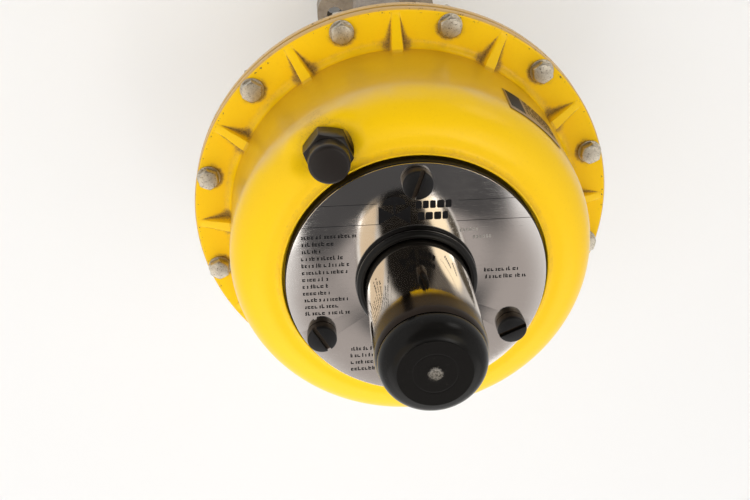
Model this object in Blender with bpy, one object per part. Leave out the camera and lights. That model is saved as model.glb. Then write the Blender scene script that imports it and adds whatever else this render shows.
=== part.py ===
"""Spring-return diaphragm actuator for a control valve: yoke, two-part casing, springs and stem.

Metres, +Z up along the stem, origin on the ground at the middle of the yoke's foot. The casings, the
plate and the springs share the stem's axis. Air under the diaphragm lifts the stem by 20 mm.
"""
import bpy
import bmesh
from math import cos, hypot, pi, radians, sin
from mathutils import Matrix

# Driving dimensions
GAP = 0.0003              # left between pieces that touch
BOLTS = 12                # round the casings' flange
BOLT_CIRCLE = 0.1155      # radius of the flange bolts' circle
BOLT_R = 0.0031
BOLT_FLATS = 0.011        # across the flats of the flange bolts' heads and nuts
FLANGE_R = 0.1225
FLANGE_TOP = 0.1980       # upper face of the upper casing's flange
FLANGE_T = 0.0052
BEAD_T = 0.0015           # thickness of the diaphragm
WALL_R = 0.100            # outside of the upper casing's wall
WALL_T = 0.004
SHOULDER_R = 0.023        # radius of the upper casing's rounded shoulder
SHOULDER_Z = 0.252        # height at which that shoulder starts
RIM_Z = 0.2788            # lip round the spring cover
COVER_R = 0.0702
COVER_TOP = 0.2826
PLATE_TOP = 0.2838        # upper face of the name plate
COVER_SCREWS = 3
COVER_SCREW_CIRCLE = 0.0595
COVER_SCREW_TURN = 1.5    # degrees from +Y to the first cover screw
TUBE_R = 0.028
TUBE_WALL = 0.0015
TUBE_TOP = 0.3560
CAP_R = 0.0268
CAP_TOP = 0.3682
STEM_R = 0.008            # above the diaphragm; STEM_LOW_R below it
STEM_LOW_R = 0.009
STEM_BOTTOM, STEM_TOP = 0.062, 0.300
RETAINER_Z, RETAINER_T = 0.1523, 0.003
DIAPHRAGM_Z = 0.1556      # underside of the diaphragm's flat middle
SPRING_TOP = 0.2720
BOSS_R, BOSS_BOTTOM, NECK_BORE = 0.024, 0.118, 0.0114
CASE_FLOOR, CASE_UNDER = 0.149, 0.144
FOOT_X, FOOT_Y, FOOT_T, FOOT_BORE = 0.041, 0.082, 0.020, 0.026
LEG_X, LEG_IN, LEG_OUT = 0.016, 0.062, 0.080
BAR_BOTTOM, BAR_TOP = 0.131, 0.1437
VENT_RADIUS, VENT_TURN, VENT_Z = 0.0857, -29.5, 0.2675
COUPLING_BOTTOM, COUPLING_TOP = 0.050, 0.092
COUPLING_X, COUPLING_Y = 0.014, 0.020
INLET_Z = 0.166
ROUND = 36                # segments on the casings
MEDIUM = 30               # on the other large turned pieces
SMALL = 16                # and on the small ones

LOWER_FLANGE_TOP = FLANGE_TOP - FLANGE_T - BEAD_T - 2 * GAP
LOWER_FLANGE_BOTTOM = LOWER_FLANGE_TOP - 0.0056
PLATE_Z = DIAPHRAGM_Z + BEAD_T + 0.0005
PLATE_T = 0.004

for old in list(bpy.data.objects):
    bpy.data.objects.remove(old)


def material(name, colour, roughness, metallic):
    made = bpy.data.materials.new(name)
    made.use_nodes = True
    shader = made.node_tree.nodes["Principled BSDF"]
    shader.inputs["Base Color"].default_value = (*colour, 1)
    shader.inputs["Roughness"].default_value = roughness
    shader.inputs["Metallic"].default_value = metallic
    return made


YELLOW = material("yellow_paint", (0.90, 0.58, 0.01), 0.30, 0)
CAST = material("bare_casting", (0.36, 0.34, 0.31), 0.60, 0.7)
STEEL = material("bolt_steel", (0.52, 0.49, 0.43), 0.40, 1)
POLISHED = material("polished_steel", (0.62, 0.61, 0.59), 0.15, 1)
BLACK_STEEL = material("black_steel", (0.03, 0.03, 0.03), 0.45, 0.8)
BLACK_PLASTIC = material("black_plastic", (0.015, 0.015, 0.015), 0.45, 0)
RUBBER = material("black_rubber", (0.02, 0.02, 0.02), 0.70, 0)
SPRING = material("spring_steel", (0.10, 0.11, 0.12), 0.40, 0.9)
BRASS = material("brass", (0.60, 0.42, 0.16), 0.35, 1)
FOIL = material("label_foil", (0.45, 0.45, 0.44), 0.35, 0.6)


def place(mesh, name, look):
    """Turns a bmesh into an object of this name, shaded smooth except over its sharp edges."""
    bmesh.ops.recalc_face_normals(mesh, faces=mesh.faces)
    data = bpy.data.meshes.new(name)
    mesh.to_mesh(data)
    mesh.free()
    data.shade_smooth()
    data.set_sharp_from_angle(angle=radians(35))
    made = bpy.data.objects.new(name, data)
    bpy.context.scene.collection.objects.link(made)
    if look:
        data.materials.append(look)
    return made


def cutter(mesh, name):
    """A helper for a Boolean, left out of the model."""
    made = place(mesh, name, None)
    made.hide_render = True
    made.display_type = "WIRE"
    return made


def combine(target, other, operation):
    change = target.modifiers.new(f"{operation.lower()} {other.name}", "BOOLEAN")
    change.operation = operation
    change.solver = "EXACT"
    change.object = other


def drill(target, mesh, name):
    combine(target, cutter(mesh, f"{target.name}_{name}_cutter"), "DIFFERENCE")


def add(target, mesh, name):
    combine(target, cutter(mesh, f"{target.name}_{name}_addition"), "UNION")


def lathe(outline, segments=ROUND, mesh=None):
    """Turns a closed outline of (radius, height) points about +Z."""
    mesh = mesh or bmesh.new()
    rings = []
    for radius, height in outline:
        turns = [2 * pi * i / segments for i in range(segments)] if radius > 0 else [0]
        rings.append([mesh.verts.new((radius * sin(a), radius * cos(a), height)) for a in turns])
    for first, second in zip(rings, rings[1:] + rings[:1]):
        for i in range(segments):
            j = (i + 1) % segments
            corners = [first[i % len(first)], first[j % len(first)],
                       second[j % len(second)], second[i % len(second)]]
            corners = list(dict.fromkeys(corners))
            if len(corners) > 2:
                mesh.faces.new(corners)
    return mesh


def prism(outline, low, high, mesh=None):
    """A flat (x, y) outline raised from height low to height high."""
    mesh = mesh or bmesh.new()
    bottom = [mesh.verts.new((x, y, low)) for x, y in outline]
    top = [mesh.verts.new((x, y, high)) for x, y in outline]
    mesh.faces.new(bottom)
    mesh.faces.new(top)
    for i in range(len(outline)):
        j = (i + 1) % len(outline)
        mesh.faces.new((bottom[i], bottom[j], top[j], top[i]))
    return mesh


def circle(radius, count, centre=(0, 0), turn=0.0):
    points = [2 * pi * i / count + turn for i in range(count)]
    return [(centre[0] + radius * sin(a), centre[1] + radius * cos(a)) for a in points]


def hexagon(across_flats, centre=(0, 0), turn=0.0):
    return circle(across_flats / 2 / cos(pi / 6), 6, centre, turn)


def rounded(x, y, radius, count=4):
    """A rectangle of half sizes x and y with rounded corners."""
    points = []
    for corner, (sx, sy) in enumerate(((1, 1), (-1, 1), (-1, -1), (1, -1))):
        for i in range(count + 1):
            a = pi / 2 * (corner + i / count)
            points.append((sx * (x - radius) + radius * cos(a), sy * (y - radius) + radius * sin(a)))
    return points


def arc(centre, radius, start, end, count):
    """Points of an arc in the (radius, height) plane, from start to end degrees."""
    steps = [radians(start + (end - start) * i / count) for i in range(count + 1)]
    return [(centre[0] + radius * cos(a), centre[1] + radius * sin(a)) for a in steps]


def washer(inner, outer, low, high):
    return [(inner, low), (outer, low), (outer, high), (inner, high)]


def turned(mesh, matrix):
    bmesh.ops.transform(mesh, matrix=matrix, verts=mesh.verts)
    return mesh


def lying(axis, centre):
    """Takes +Z to the named axis and the origin to centre."""
    turn = Matrix.Rotation(pi / 2, 4, "Y") if axis == "X" else Matrix.Rotation(pi / 2, 4, "X")
    return Matrix.Translation(centre) @ turn


def bolt_places(radius=BOLT_CIRCLE):
    """Centres of the flange bolts, half a pitch off the +Y direction."""
    turns = [2 * pi * (i + 0.5) / BOLTS for i in range(BOLTS)]
    return [(radius * sin(a), radius * cos(a)) for a in turns]


def cover_screw_places():
    turns = [radians(COVER_SCREW_TURN + 360 * i / COVER_SCREWS) for i in range(COVER_SCREWS)]
    return [(COVER_SCREW_CIRCLE * sin(a), COVER_SCREW_CIRCLE * cos(a)) for a in turns]


def bolt_holes(low, high):
    mesh = bmesh.new()
    for centre in bolt_places():
        prism(circle(BOLT_R + 0.0006, 8, centre), low, high, mesh)
    return mesh


def yoke():
    """Cast frame: foot, two legs and a bar that the lower casing's neck passes through."""
    body = place(prism(rounded(FOOT_X, FOOT_Y, 0.014), 0, FOOT_T), "yoke", CAST)
    for side in (1, -1):
        middle = side * (LEG_IN + LEG_OUT) / 2
        half = (LEG_OUT - LEG_IN) / 2
        leg = [(x, middle + y) for x, y in rounded(LEG_X, half, 0.004, 2)]
        add(body, prism(leg, FOOT_T - 0.005, BAR_BOTTOM + 0.004), f"leg_{'ab'[side > 0]}")
    add(body, prism(rounded(0.030, LEG_OUT, 0.012), BAR_BOTTOM, BAR_TOP), "bar")
    pad = prism(rounded(0.013, 0.025, 0.003, 2), LEG_OUT - 0.004, LEG_OUT + 0.0035)
    add(body, turned(pad, Matrix.Translation((0, 0, 0.080)) @ Matrix.Rotation(pi / 2, 4, "X")), "pad")
    drill(body, prism(circle(FOOT_BORE, 36), -0.01, FOOT_T + 0.01), "foot_bore")
    drill(body, prism(circle(BOSS_R + GAP, 36), BAR_BOTTOM - 0.01, BAR_TOP + 0.01), "neck_bore")
    holes = bmesh.new()
    for x in (1, -1):
        for y in (1, -1):
            prism(circle(0.0055, 12, (x * 0.029, y * 0.066)), -0.01, FOOT_T + 0.01, holes)
    drill(body, holes, "foot_holes")
    tapped = prism(circle(0.0034, 12), LEG_OUT - 0.008, LEG_OUT + 0.02)
    turned(tapped, Matrix.Translation((0, 0, 0.080)) @ Matrix.Rotation(pi / 2, 4, "X"))
    drill(body, tapped, "pad_hole")


def yoke_nut():
    nut = place(lathe(washer(BOSS_R + GAP, 0.034, 0.119, BAR_BOTTOM - GAP), 36), "yoke_nut", CAST)
    slots = bmesh.new()
    for i in range(4):
        a = pi / 4 + i * pi / 2
        prism(hexagon(0.007, (0.0345 * sin(a), 0.0345 * cos(a))), 0.11, 0.14, slots)
    drill(nut, slots, "slots")


def lower_casing():
    outline = [(0.097, LOWER_FLANGE_TOP), (0.0955, LOWER_FLANGE_TOP - 0.002), (0.0905, 0.158)]
    outline += arc((0.0820, 0.158), 0.009, -20, -90, 2)
    outline += [(NECK_BORE, CASE_FLOOR), (NECK_BORE, BOSS_BOTTOM), (BOSS_R - 0.001, BOSS_BOTTOM)]
    outline += [(BOSS_R, BOSS_BOTTOM + 0.001), (BOSS_R, CASE_UNDER), (0.083, CASE_UNDER)]
    outline += arc((0.0835, 0.156), 0.012, -80, -15, 2)
    outline += [(0.0995, 0.181), (0.1035, LOWER_FLANGE_BOTTOM), (FLANGE_R - 0.001, LOWER_FLANGE_BOTTOM)]
    outline += [(FLANGE_R, LOWER_FLANGE_BOTTOM + 0.001), (FLANGE_R, LOWER_FLANGE_TOP)]
    case = place(lathe(outline), "lower_casing", YELLOW)
    add(case, turned(prism(circle(0.011, 20), 0.0937, 0.106), lying("Y", (0, 0, INLET_Z))), "inlet_boss")
    drill(case, bolt_holes(0.17, 0.2), "bolt_holes")
    drill(case, turned(prism(circle(0.0066, 16), 0.080, 0.12), lying("Y", (0, 0, INLET_Z))), "inlet")


def inlet_fitting():
    """Hose nipple screwed into the lower casing's inlet boss."""
    outline = [(0.003, 0.096), (0.0063, 0.096), (0.0063, 0.1085), (0.0060, 0.1140), (0.0048, 0.1150),
               (0.0048, 0.1160), (0.0056, 0.1165), (0.0044, 0.1212), (0.003, 0.1212)]
    where = lying("Y", (0, 0, INLET_Z))
    fitting = place(turned(lathe(outline, 20), where), "air_inlet_fitting", BRASS)
    hexed = lathe([(0.0055, 0.1063), (0.0098, 0.1063), (0.0098, 0.1122), (0.0055, 0.1122)], 6)
    add(fitting, turned(hexed, where), "hexagon")


def diaphragm():
    """Fabric-reinforced rubber disc, folded down between the plate and the casing's wall."""
    top = DIAPHRAGM_Z + BEAD_T
    bead = LOWER_FLANGE_TOP + GAP
    outline = [(0.0083, DIAPHRAGM_Z), (0.0815, DIAPHRAGM_Z), (0.0845, DIAPHRAGM_Z + 0.0012)]
    outline += [(0.0868, 0.1620), (0.0930, 0.1860), (0.0965, bead), (0.1215, bead)]
    outline += [(0.1215, bead + BEAD_T), (0.0957, bead + BEAD_T), (0.0916, 0.1862), (0.0854, 0.1624)]
    outline += [(0.0836, top + 0.0008), (0.0811, top), (0.0083, top)]
    body = place(lathe(outline), "diaphragm", RUBBER)
    drill(body, bolt_holes(0.17, 0.21), "bolt_holes")


def diaphragm_plate():
    low, high = PLATE_Z, PLATE_Z + PLATE_T
    outline = [(STEM_R + GAP, low), (0.078, low), (0.080, low + 0.002), (0.080, high + 0.008)]
    outline += [(0.0765, high + 0.008), (0.0765, high), (0.0480, high), (0.0480, high + 0.0030)]
    outline += [(0.0455, high + 0.0030), (0.0455, high), (STEM_R + GAP, high)]
    place(lathe(outline, MEDIUM), "diaphragm_plate", CAST)


def stem():
    """Turned rod with a shoulder under the retainer and a collar-free top end."""
    shoulder = RETAINER_Z - GAP
    outline = [(0, STEM_BOTTOM), (STEM_LOW_R - 0.001, STEM_BOTTOM), (STEM_LOW_R, STEM_BOTTOM + 0.001)]
    outline += [(STEM_LOW_R, shoulder), (STEM_R, shoulder), (STEM_R, STEM_TOP - 0.0015)]
    outline += [(STEM_R - 0.0015, STEM_TOP), (0, STEM_TOP)]
    place(lathe(outline, SMALL), "stem", POLISHED)


def hex_nut(name, across_flats, bore, low, high, look):
    """Hexagon with its corners turned off at both ends, bored through."""
    corner = across_flats / 2 / cos(pi / 6)
    lead = (corner - across_flats / 2) * 0.6
    outline = [(bore, low), (across_flats / 2, low), (corner, low + lead)]
    outline += [(corner, high - lead), (across_flats / 2, high), (bore, high)]
    nut = place(lathe(outline, 24), name, look)
    hexed = cutter(prism(hexagon(across_flats), low - 0.01, high + 0.01), f"{name}_hexagon")
    combine(nut, hexed, "INTERSECT")


def spring(name, mean, wire, low, high, turns, steps, sides=6):
    """Closed-ended helical spring: the end turns lie close together, the middle ones are open."""
    count = int(turns * steps)
    closed = 0.75         # turns laid flat at each end
    rise = (high - low - wire - 2 * closed * wire) / (turns - 2 * closed)
    points = []
    for i in range(count + 1):
        t = turns * i / count
        flat = min(t, closed) + max(0, t - (turns - closed))
        open_turns = min(max(t - closed, 0), turns - 2 * closed)
        points.append((mean * sin(2 * pi * t), mean * cos(2 * pi * t),
                       low + wire / 2 + flat * wire + open_turns * rise))
    mesh = bmesh.new()
    rings = []
    for i, (x, y, z) in enumerate(points):
        out = (x / hypot(x, y), y / hypot(x, y))
        ring = []
        for k in range(sides):
            a = 2 * pi * (k + 0.5) / sides
            reach = wire / 2 * cos(a) * 0.98
            ring.append(mesh.verts.new((x + out[0] * reach, y + out[1] * reach, z + wire / 2 * sin(a) * 0.98)))
        rings.append(ring)
    for first, second in zip(rings, rings[1:]):
        for k in range(sides):
            j = (k + 1) % sides
            mesh.faces.new((first[k], first[j], second[j], second[k]))
    mesh.faces.new(rings[0])
    mesh.faces.new(rings[-1])
    place(mesh, name, SPRING)


def upper_casing_outline():
    inner = WALL_R - WALL_T
    shoulder = (WALL_R - SHOULDER_R, SHOULDER_Z)
    outline = [(inner, FLANGE_TOP - FLANGE_T), (FLANGE_R, FLANGE_TOP - FLANGE_T)]
    outline += [(FLANGE_R, FLANGE_TOP - 0.001), (FLANGE_R - 0.001, FLANGE_TOP)]
    outline += arc((WALL_R + 0.0045, FLANGE_TOP + 0.0035), 0.0035, -90, -180, 2)
    outline += arc(shoulder, SHOULDER_R, 0, 90, 6)
    outline += [(0.0735, 0.2762), (0.0720, RIM_Z), (COVER_R + 0.0007, RIM_Z)]
    outline += [(COVER_R + 0.0007, 0.2720), (0.048, 0.2720), (0.048, 0.2620), (0.070, 0.2620)]
    outline += [(0.0750, 0.2690)]
    outline += arc(shoulder, SHOULDER_R - WALL_T, 70, 0, 3)
    return outline


def ribs():
    """Triangular webs between the bolts, from the flange's edge up to the wall."""
    mesh = bmesh.new()
    for i in range(BOLTS):
        side = [(0.098, FLANGE_TOP - 0.003), (0.1212, FLANGE_TOP - 0.003), (0.1212, FLANGE_TOP + 0.0003)]
        side += [(0.1005, FLANGE_TOP + 0.0092), (0.098, FLANGE_TOP + 0.0092)]
        rib = prism([(r, z) for r, z in side], -0.003, 0.003)
        stand = Matrix.Rotation(2 * pi * i / BOLTS, 4, "Z") @ Matrix.Rotation(pi / 2, 4, "X")
        turned(rib, stand)
        data = bpy.data.meshes.new("rib")
        rib.to_mesh(data)
        rib.free()
        mesh.from_mesh(data)
        bpy.data.meshes.remove(data)
    return mesh


def vent_centre():
    a = radians(VENT_TURN)
    return VENT_RADIUS * sin(a), VENT_RADIUS * cos(a)


def upper_casing():
    case = place(lathe(upper_casing_outline()), "upper_casing", YELLOW)
    add(case, ribs(), "ribs")
    add(case, prism(circle(0.0128, SMALL, vent_centre()), 0.258, VENT_Z), "vent_boss")
    drill(case, prism(circle(0.0132, SMALL, vent_centre()), VENT_Z, 0.285), "vent_spot_face")
    drill(case, prism(circle(0.0068, 16, vent_centre()), 0.24, 0.285), "vent_hole")
    drill(case, bolt_holes(0.18, 0.1995), "bolt_holes")
    tapped = bmesh.new()
    for centre in cover_screw_places():
        prism(circle(0.0052, 12, centre), 0.25, 0.275, tapped)
    drill(case, tapped, "cover_screw_holes")


def spring_cover():
    """Thick disc that closes the casing, takes the springs' thrust and carries the tube."""
    outline = [(0.0120, 0.2580), (0.0200, 0.2580), (0.0200, 0.2723), (COVER_R, 0.2723)]
    outline += [(COVER_R, COVER_TOP), (TUBE_R + GAP, COVER_TOP), (TUBE_R + GAP, 0.2750), (0.0120, 0.2750)]
    cover = place(lathe(outline, MEDIUM), "spring_cover", BLACK_STEEL)
    holes = bmesh.new()
    for centre in cover_screw_places():
        prism(circle(0.0054, 12, centre), 0.265, 0.29, holes)
    drill(cover, holes, "screw_holes")


def name_plate():
    low = COVER_TOP + GAP
    plate = place(lathe(washer(TUBE_R + 0.0006, COVER_R + 0.0001, low, PLATE_TOP), MEDIUM), "name_plate", POLISHED)
    holes = bmesh.new()
    for centre in cover_screw_places():
        prism(circle(0.0054, 12, centre), 0.27, 0.29, holes)
    drill(plate, holes, "screw_holes")


def cover_screw(number, centre, slot_turn):
    """Cheese-head screw with a straight slot."""
    low, high = PLATE_TOP + GAP, PLATE_TOP + 0.0061
    outline = [(0, 0.2630), (0.0049, 0.2630), (0.0049, low), (0.0080, low), (0.0080, high - 0.0007)]
    outline += [(0.0073, high), (0, high)]
    mesh = turned(lathe(outline, SMALL), Matrix.Translation((*centre, 0)))
    screw = place(mesh, f"cover_screw_{number}", BLACK_STEEL)
    slot = prism([(-0.00125, -0.01), (0.00125, -0.01), (0.00125, 0.01), (-0.00125, 0.01)], high - 0.0025, high + 0.01)
    drill(screw, turned(slot, Matrix.Translation((*centre, 0)) @ Matrix.Rotation(radians(slot_turn), 4, "Z")), "slot")


def tube_and_cap():
    low, seat = PLATE_TOP + GAP, 0.2750 + GAP
    ring = [(TUBE_R + GAP, low), (0.0320, low), (0.0324, low + 0.001), (0.0324, low + 0.0036)]
    ring += [(0.0314, low + 0.0052), (0.0300, low + 0.0056), (TUBE_R + GAP, low + 0.0048)]
    place(lathe(ring, MEDIUM), "tube_seal_ring", RUBBER)
    inner = TUBE_R - TUBE_WALL
    tube = [(inner, seat), (TUBE_R, seat), (TUBE_R, TUBE_TOP - 0.002), (TUBE_R - 0.0006, TUBE_TOP - 0.0006)]
    tube += [(TUBE_R - 0.0013, TUBE_TOP), (inner, TUBE_TOP)]
    place(lathe(tube, MEDIUM), "stem_tube", POLISHED)
    spigot, rim = inner - GAP - 0.0005, TUBE_TOP + GAP
    fillet = arc((CAP_R - 0.0080, CAP_TOP - 0.0080), 0.0080, 0, 90, 4)
    cap = [(0, 0.3640), (0.0235, 0.3640), (0.0235, 0.3430), (spigot, 0.3430), (spigot, rim), (CAP_R, rim)]
    place(lathe(cap + fillet + [(0, CAP_TOP)], MEDIUM), "tube_end_cap", BLACK_PLASTIC)


def vent_plug():
    centre = vent_centre()
    shift = Matrix.Translation((*centre, 0))
    base = VENT_Z + 0.0013
    gasket = lathe(washer(0.0066, 0.0105, VENT_Z + GAP, base - GAP), SMALL)
    place(turned(gasket, shift), "vent_gasket", RUBBER)
    hex_top = base + 0.0122
    outline = [(0, 0.2590), (0.0062, 0.2590), (0.0062, base), (0.0106, base), (0.0112, base + 0.0008)]
    outline += [(0.0112, hex_top - 0.001), (0.0106, hex_top), (0.0106, 0.2900), (0.0096, 0.2915), (0, 0.2915)]
    plug = place(turned(lathe(outline, SMALL), shift), "vent_plug", BLACK_PLASTIC)
    add(plug, prism(hexagon(0.0224, centre, radians(40)), base, hex_top), "hexagon")


def rating_label():
    """Foil label, curved with the casing's wall that it is stuck on."""
    inner, outer, low, high = WALL_R + 0.0007, WALL_R + 0.0010, 0.2285, 0.2500
    start, end, count = radians(32.5), radians(54), 8
    mesh = bmesh.new()
    turns = [start + (end - start) * i / count for i in range(count + 1)]
    edge = [(outer, a) for a in turns] + [(inner, a) for a in reversed(turns)]
    prism([(r * sin(a), r * cos(a)) for r, a in edge], low, high, mesh)
    place(mesh, "rating_label", FOIL)


def coupling():
    """Two blocks that clamp the stem's lower end, split along the plane x = 0."""
    for name, side in (("coupling_front", 1), ("coupling_rear", -1)):
        half = [(side * x, y) for x, y in ((GAP, -COUPLING_Y), (COUPLING_X - 0.002, -COUPLING_Y),
                                           (COUPLING_X, 0.002 - COUPLING_Y), (COUPLING_X, COUPLING_Y - 0.002),
                                           (COUPLING_X - 0.002, COUPLING_Y), (GAP, COUPLING_Y))]
        block = place(prism(half, COUPLING_BOTTOM, COUPLING_TOP), name, STEEL)
        drill(block, prism(circle(STEM_LOW_R + GAP, SMALL), 0.04, 0.1), "bore")
        for y in (0.0145, -0.0145):
            hole = turned(prism(circle(0.0033, 12), -0.03, 0.03), lying("X", (0, y, 0.070)))
            drill(block, hole, f"hole_{'ab'[y > 0]}")
    for number, y in ((1, 0.0145), (2, -0.0145)):
        face = COUPLING_X + GAP
        outline = [(0, -0.0135), (0.0030, -0.0135), (0.0030, face), (0.0048, face), (0.0048, 0.0200), (0, 0.0200)]
        screw = place(turned(lathe(outline, 16), lying("X", (0, y, 0.070))), f"coupling_screw_{number}", BLACK_STEEL)
        socket = turned(prism(hexagon(0.005), 0.0172, 0.03), lying("X", (0, y, 0.070)))
        drill(screw, socket, "socket")


def pointer_and_scale():
    """The pointer rides on the coupling and reads against the scale on the yoke's leg."""
    x = COUPLING_X + GAP
    outline = [(-0.008, 0.0795), (0.048, 0.0795), (0.0605, 0.0840), (0.048, 0.0885), (-0.008, 0.0885)]
    upright = Matrix(((0, 0, 1, 0), (1, 0, 0, 0), (0, 1, 0, 0), (0, 0, 0, 1)))
    place(turned(prism(outline, x, x + 0.0015), upright), "travel_pointer", STEEL)
    low = LEG_X + GAP
    scale = rounded(0.0065, 0.030, 0.001, 1)
    shift = Matrix.Translation((0, 0.0705, 0.080)) @ upright
    place(turned(prism(scale, low, low + 0.0012), shift), "travel_scale", FOIL)


def flange_bolts():
    """Hexagon bolts with their washers under the heads, and a nut under each."""
    top = FLANGE_TOP + GAP
    outline = [(0, 0.1765), (BOLT_R, 0.1765), (BOLT_R, top), (0.0068, top), (0.0068, top + 0.0010)]
    outline += [(0, top + 0.0010)]
    for number, centre in enumerate(bolt_places(), 1):
        shift = Matrix.Translation((*centre, 0))
        turn = radians(5 * (number % 5) - 8)
        bolt = place(turned(lathe(outline, 10), shift), f"flange_bolt_{number:02d}", STEEL)
        head = prism(hexagon(BOLT_FLATS, centre, turn), top + 0.0008, top + 0.0055)
        add(bolt, head, "head")
        seat = LOWER_FLANGE_BOTTOM - GAP
        nut = place(prism(hexagon(BOLT_FLATS, centre), seat - 0.0055, seat), f"flange_nut_{number:02d}", STEEL)
        drill(nut, prism(circle(BOLT_R + 0.0005, 8, centre), seat - 0.01, seat + 0.01), "bore")


def stem_hardware():
    bore = STEM_R + GAP
    low_bore = STEM_LOW_R + GAP
    disc = washer(bore, 0.030, RETAINER_Z, RETAINER_Z + RETAINER_T)
    place(lathe(disc, 36), "diaphragm_retainer", STEEL)
    plate_top = PLATE_Z + PLATE_T
    hex_nut("stem_nut", 0.024, bore, plate_top + GAP, plate_top + GAP + 0.008, STEEL)
    hex_nut("travel_stop_nut", 0.024, bore, 0.2762, 0.2862, STEEL)
    hex_nut("stop_locknut", 0.024, bore, 0.2865, 0.2925, STEEL)
    place(lathe(washer(low_bore, NECK_BORE - GAP, 0.1273, 0.1487), SMALL), "lower_bush", BRASS)
    place(lathe(washer(low_bore, NECK_BORE - GAP, 0.1230, 0.1270), SMALL), "stem_seal", RUBBER)
    place(lathe(washer(low_bore, NECK_BORE - GAP, 0.1186, 0.1227), SMALL), "wiper_ring", RUBBER)
    place(lathe(washer(bore, 0.0117, 0.2583, 0.2750), SMALL), "guide_bush", BRASS)


def main():
    yoke()
    yoke_nut()
    lower_casing()
    inlet_fitting()
    diaphragm()
    diaphragm_plate()
    stem()
    stem_hardware()
    low = PLATE_Z + PLATE_T + GAP
    spring("outer_spring", 0.040, 0.0085, low, SPRING_TOP, 5.5, 12)
    spring("inner_spring", 0.026, 0.0055, low, SPRING_TOP, 7.5, 10)
    upper_casing()
    spring_cover()
    name_plate()
    for number, (centre, slot_turn) in enumerate(zip(cover_screw_places(), (-20, -67, 28)), 1):
        cover_screw(number, centre, slot_turn)
    tube_and_cap()
    vent_plug()
    rating_label()
    coupling()
    pointer_and_scale()
    flange_bolts()


main()
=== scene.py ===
"""Looks of the diaphragm actuator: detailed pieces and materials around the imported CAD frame."""
from math import atan2, cos, degrees, hypot, pi, radians, sin, sqrt

import bmesh
import bpy
import numpy as np
from mathutils import Matrix, Vector


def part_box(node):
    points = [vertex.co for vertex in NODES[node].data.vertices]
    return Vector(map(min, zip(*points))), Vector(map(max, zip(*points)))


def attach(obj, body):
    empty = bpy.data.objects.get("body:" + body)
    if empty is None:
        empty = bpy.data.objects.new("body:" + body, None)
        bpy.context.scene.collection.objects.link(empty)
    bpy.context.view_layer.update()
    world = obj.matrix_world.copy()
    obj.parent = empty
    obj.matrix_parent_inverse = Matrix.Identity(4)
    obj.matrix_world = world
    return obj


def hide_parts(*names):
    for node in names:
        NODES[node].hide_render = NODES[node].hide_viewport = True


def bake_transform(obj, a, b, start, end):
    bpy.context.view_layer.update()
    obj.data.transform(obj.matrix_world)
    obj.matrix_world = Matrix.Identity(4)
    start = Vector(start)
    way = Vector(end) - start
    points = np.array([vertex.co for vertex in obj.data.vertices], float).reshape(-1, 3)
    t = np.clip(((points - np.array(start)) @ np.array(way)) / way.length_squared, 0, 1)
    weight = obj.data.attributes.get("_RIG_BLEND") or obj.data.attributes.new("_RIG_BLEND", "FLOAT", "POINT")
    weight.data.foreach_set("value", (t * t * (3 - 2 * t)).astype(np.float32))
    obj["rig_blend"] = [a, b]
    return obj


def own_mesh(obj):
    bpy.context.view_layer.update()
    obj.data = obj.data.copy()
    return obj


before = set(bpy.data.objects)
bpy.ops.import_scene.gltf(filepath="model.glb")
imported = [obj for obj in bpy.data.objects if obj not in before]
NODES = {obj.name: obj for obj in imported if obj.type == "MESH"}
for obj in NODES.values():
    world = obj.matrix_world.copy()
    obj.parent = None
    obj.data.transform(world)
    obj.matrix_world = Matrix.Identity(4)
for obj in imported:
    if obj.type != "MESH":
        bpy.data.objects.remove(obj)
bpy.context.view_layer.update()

# Sizes that the boxes of the CAD nodes don't give, in metres
FLANGE_TOP = 0.1980
WALL_R = 0.100
WALL_T = 0.004
SHOULDER_R = 0.023
SHOULDER_Z = 0.252
CROWN = (0.0755, 0.27515)          # radius and height where the shoulder meets the lip
EDGE_ROUND = 0.0013                # rounding of the flanges' edges
BOLTS = 12
BOLT_CIRCLE = 0.1155
BOLT_R = 0.0031
BOLT_HOLE_R = BOLT_R + 0.0006
BOLT_FLATS = 0.011
WASHER_R = 0.0068
WASHER_T = 0.0011
COVER_SEAT = 0.2720
SCREW_HOLE_R = 0.0054
RIB_RISE = 0.0088
VENT_SEAT = 0.2675
SPOT_R = 0.0132
STEM_BORE = 0.0083                 # bore of what sits on the stem
DIAPHRAGM_T = 0.0015
OUTER_SPRING = (0.0085, 5.5)       # wire and number of turns
INNER_SPRING = (0.0055, 7.5)
TUBE_T = 0.0015
GAP = 0.0003                       # clearance between pieces that would touch
PEN = 0.00062                      # width of a printed stroke
PRINT_T = 0.00003                  # thickness of print
LABEL_START, LABEL_END = radians(32.5), radians(54)

# Camera and lights
AIM = (-0.0173, -0.0255, 0.200)
DISTANCE, AZIMUTH, ELEVATION, ROLL, LENS = 0.687, 185.0, 60.74, 171.55, 54.43
LIGHT_AIM = (0, 0, 0.25)
# Patches of the surroundings: azimuth, elevation, full and zero radius in degrees, colour
WORLD_PATCHES = (
    (-95, 15, 26, 58, (0.95, 0.93, 0.91)),
    (98, 15, 26, 58, (0.90, 0.88, 0.86)),
    (15, 12, 30, 80, (0.75, 0.70, 0.66)),
    (18, 34, 24, 44, (0.22, 0.20, 0.18)),
    (-146, 70, 4, 9, (6.5, 6.3, 6.0)),
    (100, 70, 4, 9, (6.5, 6.3, 6.0)),
    (172, 56, 9, 22, (0.50, 0.45, 0.42)),
    (172, 75, 13.2, 17, (0.085, 0.082, 0.082)),
    (-16, 60, 22, 30, (0.02, 0.018, 0.016)),
    (69, 60, 9, 14, (2.1, 1.85, 1.4)),
    (113, 60, 6, 10, (0.15, 0.13, 0.10)),
    (-108, 60, 13, 17, (1.3, 1.08, 0.80)),
    (40, 5, 5, 14, (3.0, 2.9, 2.8)),
)


# ---------------------------------------------------------------- meshes

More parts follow.
